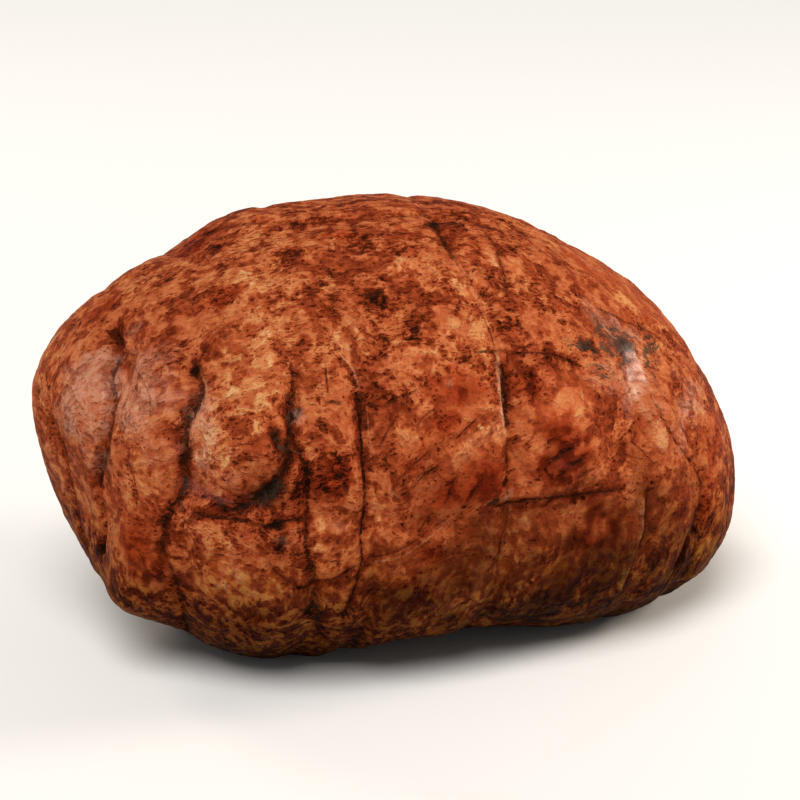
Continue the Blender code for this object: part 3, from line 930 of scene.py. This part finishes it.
class Rind(Nodes):
    """Browned rind: a tone from char to fat, tinted red, grey or olive, with dark strokes and specks,
    painted sheen, and painted shade low down and in the creases.
    """

    def __init__(self, creases, ridges):
        self.material, self.shader = new_material("roasted_rind")
        super().__init__(self.material.node_tree)
        self.read_noise()
        dark = self.strokes_and_specks()
        slit = self.slits(creases)
        colour = self.with_tints(self.ramp(self.tone(dark), TONES))
        colour = self.shaded(self.with_ridges(colour, ridges))
        self.feed(self.shader.inputs["Base Color"], self.blend(slit, colour, BLACK))
        self.make_gloss()
        self.make_bumps(dark, slit)

    def read_noise(self):
        """The noises that several looks share, and how low on the ham a place is."""
        place = self.add("TexCoord", {}, "Object")
        waved = self.shifted(place, place, *WAVES)
        ruffled = self.shifted(waved, place, *RUFFLES)
        self.lengthwise = self.stretched(ruffled, *LENGTHWISE)
        self.slanting = self.stretched(ruffled, *SLANTING)
        self.upright = self.stretched(ruffled, *UPRIGHT)
        self.pools = self.noise(self.stretched(ruffled, *POOLED), *POOLS)
        self.broad = self.noise(waved, *BROAD)
        self.density = self.noise(waved, *DENSITY)
        self.patchy = self.noise(ruffled, *PATCHY)
        self.mottle = self.noise(ruffled, *MOTTLE)
        self.grain = self.noise(ruffled, *GRAIN)
        self.specks = self.noise(ruffled, *SPECKS)
        self.fine = self.noise(place, *FINE)
        self.ragged = self.noise(place, *RAGGED)
        self.break_up = self.slope("break_up", self.grain)
        self.height = self.total(self.add("SeparateXYZ", {0: place}, "Z"), (0.04, self.patchy))
        self.low = self.slope("low", self.height)
        self.streak = self.along_fibres(STREAKS)

    def along_fibres(self, look):
        """Noise stretched lengthwise, aslant where the meat's fibres show, and upright low down."""
        level = self.noise(self.lengthwise, *look)
        aslant = self.noise(self.slanting, *look)
        upper = self.between(self.field("fibre"), level, aslant)
        return self.between(self.low, upper, self.noise(self.upright, *look))

    def strokes_and_specks(self):
        """Dark strokes and specks, thick where the browning is, sparse where the meat is clean."""
        density = self.density
        for kind, amount in THICKER.items():
            density = self.sum(density, self.product(self.field(kind), amount))
        strokes = self.total(self.along_fibres(STROKES), (DENSITY_SHARE, density))
        specks = self.total(self.specks, (DENSITY_SHARE, density))
        return self.largest(self.slope("strokes", strokes), self.slope("specks", specks))

    def tone(self, dark):
        """From 0 charred to 1 fat: patches with soft rims, then finer and finer mottling."""
        patches = self.total(self.between(self.low, self.patchy, self.pools), (0.6, self.mottle))
        spots = self.total(self.mottle, (0.4, self.grain))
        noises = ((0.45, self.broad), (0.38, self.streak), (0.22, self.grain), (0.12, self.fine))
        mottling = self.sum(self.total(self.slope("patches", patches), *noises), self.slope("spots", spots))
        mottling = self.product(mottling, self.slope("contrast_low", self.low))
        mottling = self.product(mottling, self.slope("contrast_clean", self.field("clean")))
        # The tone patches also hold painted light and shade on the lobe and at the highlight.
        tone = self.sum(self.sum(mottling, MIDDLE_TONE), self.field("tone"))
        for kind in ("fat", "red", "char"):
            rim = self.total(self.field(kind), (0.9, self.mottle), (0.6, self.grain))
            tone = self.sum(tone, self.slope(kind, rim))
        # Scorch along the creases, partly painted shade in them.
        scorched_and_shaded = self.product(self.field("scorch"), self.slope("scorch", self.mottle))
        tone = self.sum(tone, self.product(scorched_and_shaded, SCORCH_AND_SHADE_TONE))
        tone = self.sum(tone, self.product(dark, STROKE_TONE))
        return self.largest(tone, DARKEST_TONE)

    def with_tints(self, colour):
        """Red meat, a grey film that is also painted sheen, and dark smudges, some of them painted shade.
        """
        red = self.total(self.field("red"), (-1.8, self.patchy))
        colour = self.tinted(self.slope("red_tint", red), colour, RED_TINT)
        # The grey is also painted sheen where light glances off the skin.
        film = self.slope("film", self.total(self.streak, (0.6, self.mottle)))
        grey = self.slope("grey", self.product(self.field("grey"), film))
        colour = self.blend(grey, colour, GREY_AND_SHEEN)
        # Smudges, those on the lobe partly painted shade.
        smudge = self.product(self.field("smudge"), self.slope("smudge_streak", self.streak))
        return self.blend(self.slope("smudge", smudge), colour, SMUDGE)

    def line(self, kind, layer):
        """How much a place lies in a line of one layer, with ragged edges."""
        side = self.total(self.field(f"{kind}_side_{layer}"), (LINE_RAGGEDNESS, self.ragged))
        inside = self.slope(kind, self.math("ABSOLUTE", side))
        return self.product(inside, self.field(f"{kind}_{layer}"))

    def with_ridges(self, colour, ridges):
        for layer in range(ridges):
            ridge = self.product(self.line("ridge", layer), self.break_up)
            colour = self.blend(ridge, colour, self.blend(PALE_SHARE, PALE, colour))
        return colour

    def shaded(self, colour):
        """The underside is darker, partly painted shade low on the ham and in the shadow patches, partly
        its own juice-soaked colour, with olive spots and dark runs of juice.
        """
        olive = self.product(self.slope("olive", self.pools), self.low)
        colour = self.tinted(olive, colour, OLIVE_TINT)
        # Painted shade: darker towards the bottom and in the shadow patches.
        shade = self.product(
            self.slope("underside", self.height), self.slope("shadow", self.field("shadow"))
        )
        shade = self.product(shade, self.between(self.low, 1.0, self.slope("run", self.pools)))
        return self.blend(1.0, colour, self.warm_shade(shade), "MULTIPLY")

    def slits(self, creases):
        """The dark lines in the creases, partly painted shade in creases narrower than the mesh shows."""
        slit = self.line("crease", 0)
        for layer in range(1, creases):
            slit = self.largest(slit, self.line("crease", layer))
        return self.product(slit, self.break_up)

    def make_gloss(self):
        """Moist patches shine, char and dry rind are duller."""
        wet = self.slope("wet", self.total(self.field("wet"), (1.0, self.mottle)))
        roughness = self.between(wet, self.slope("dry", self.mottle), WET_ROUGHNESS)
        self.feed(self.shader.inputs["Roughness"], roughness)
        self.feed(self.shader.inputs["Coat Weight"], self.product(wet, WET_COAT))
        self.shader.inputs["Specular IOR Level"].default_value = SPECULAR_LEVEL
        self.shader.inputs["Coat Roughness"].default_value = COAT_ROUGHNESS

    def make_bumps(self, dark, slit):
        pits = (self.product(pit, -1.0) for pit in (dark, slit))
        normal = None
        for height, rise in zip((self.streak, self.mottle, self.grain, self.fine, *pits), BUMPS):
            normal = self.bump(height, rise * MM, normal)
        self.feed(self.shader.inputs["Normal"], normal)


def plain_material(name, colour, roughness):
    material, shader = new_material(name)
    shader.inputs["Base Color"].default_value = colour
    shader.inputs["Roughness"].default_value = roughness
    return material


# Studio: a broad key light as even as a window's, its azimuth counted from the front towards +X, and two
# lamps for gloss: (azimuth, elevation, distance, size, watts).
KEY_AZIMUTH_DEG = -26.0
KEY_ELEVATION_DEG = 55.0
KEY_STRENGTH = 3.0
KEY_SPREAD_DEG = 34.0
LAMPS = {
    "side": (82, 24, 1.2, 0.40, 9),
    "rim": (-140, 34, 1.4, 0.5, 4),
}
LAMP_COLOUR = (1.0, 0.88, 0.76)
WORLD_COLOUR = (1.0, 0.99, 0.975, 1.0)
WORLD_STRENGTH = 0.30
FLOOR_COLOUR = linear(228, 226, 222)
FLOOR_ROUGHNESS = 0.7
FLOOR_RADIUS = 30.0
FLOOR_SIDES = 96


def outward(azimuth_deg, elevation_deg):
    """The direction from the ham at an azimuth from the front towards +X and an elevation."""
    azimuth = math.radians(azimuth_deg)
    elevation = math.radians(elevation_deg)
    level = math.cos(elevation)
    return Vector((math.sin(azimuth) * level, -math.cos(azimuth) * level, math.sin(elevation)))


def place_light(name, data, toward, distance):
    light = bpy.data.objects.new(name, data)
    light.location = Vector((0.0, 0.0, cad_box[1][2] / 2)) + toward * distance
    light.rotation_euler = toward.to_track_quat("Z", "Y").to_euler()
    bpy.context.scene.collection.objects.link(light)


def make_lights():
    key = bpy.data.lights.new("key", "SUN")
    key.energy = KEY_STRENGTH
    key.angle = math.radians(KEY_SPREAD_DEG)
    place_light("key", key, outward(KEY_AZIMUTH_DEG, KEY_ELEVATION_DEG), 1.0)
    for name, (azimuth, elevation, distance, size, watts) in LAMPS.items():
        lamp = bpy.data.lights.new(name, "AREA")
        lamp.shape = "DISK"
        lamp.size = size
        lamp.energy = watts
        lamp.color = LAMP_COLOUR
        place_light(name, lamp, outward(azimuth, elevation), distance)


def make_studio():
    make_lights()
    world = bpy.data.worlds.new("studio")
    world.use_nodes = True
    background = world.node_tree.nodes["Background"]
    background.inputs["Color"].default_value = WORLD_COLOUR
    background.inputs["Strength"].default_value = WORLD_STRENGTH
    bpy.context.scene.world = world
    bpy.context.scene.view_settings.view_transform = "Standard"
    bpy.ops.mesh.primitive_circle_add(vertices=FLOOR_SIDES, radius=FLOOR_RADIUS, fill_type="NGON")
    floor = bpy.context.object
    floor.name = "floor"
    floor.data.materials.append(plain_material("pale_floor", FLOOR_COLOUR, FLOOR_ROUGHNESS))
    floor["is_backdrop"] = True


def make_ham():
    skin_object = even_mesh(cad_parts["ham"])
    smooth(skin_object.data)
    skin = Skin(skin_object)
    fields = paint_patches(skin)
    scorch, creases, ridges = shape_skin(skin)
    fields.update(scorch=scorch, **creases.fields("crease"), **ridges.fields("ridge"))
    for name, values in fields.items():
        keep_field(skin.mesh, name, values)
    rind = Rind(len(creases.layers), len(ridges.layers))
    skin.mesh.materials.append(rind.material)
    skin.mesh.shade_smooth()
    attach(skin_object, "root")
    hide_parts("ham")


make_camera()
make_studio()
make_ham()

boxes = [[[float(value) for value in corner] for corner in box] for box in (cad_box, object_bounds())]
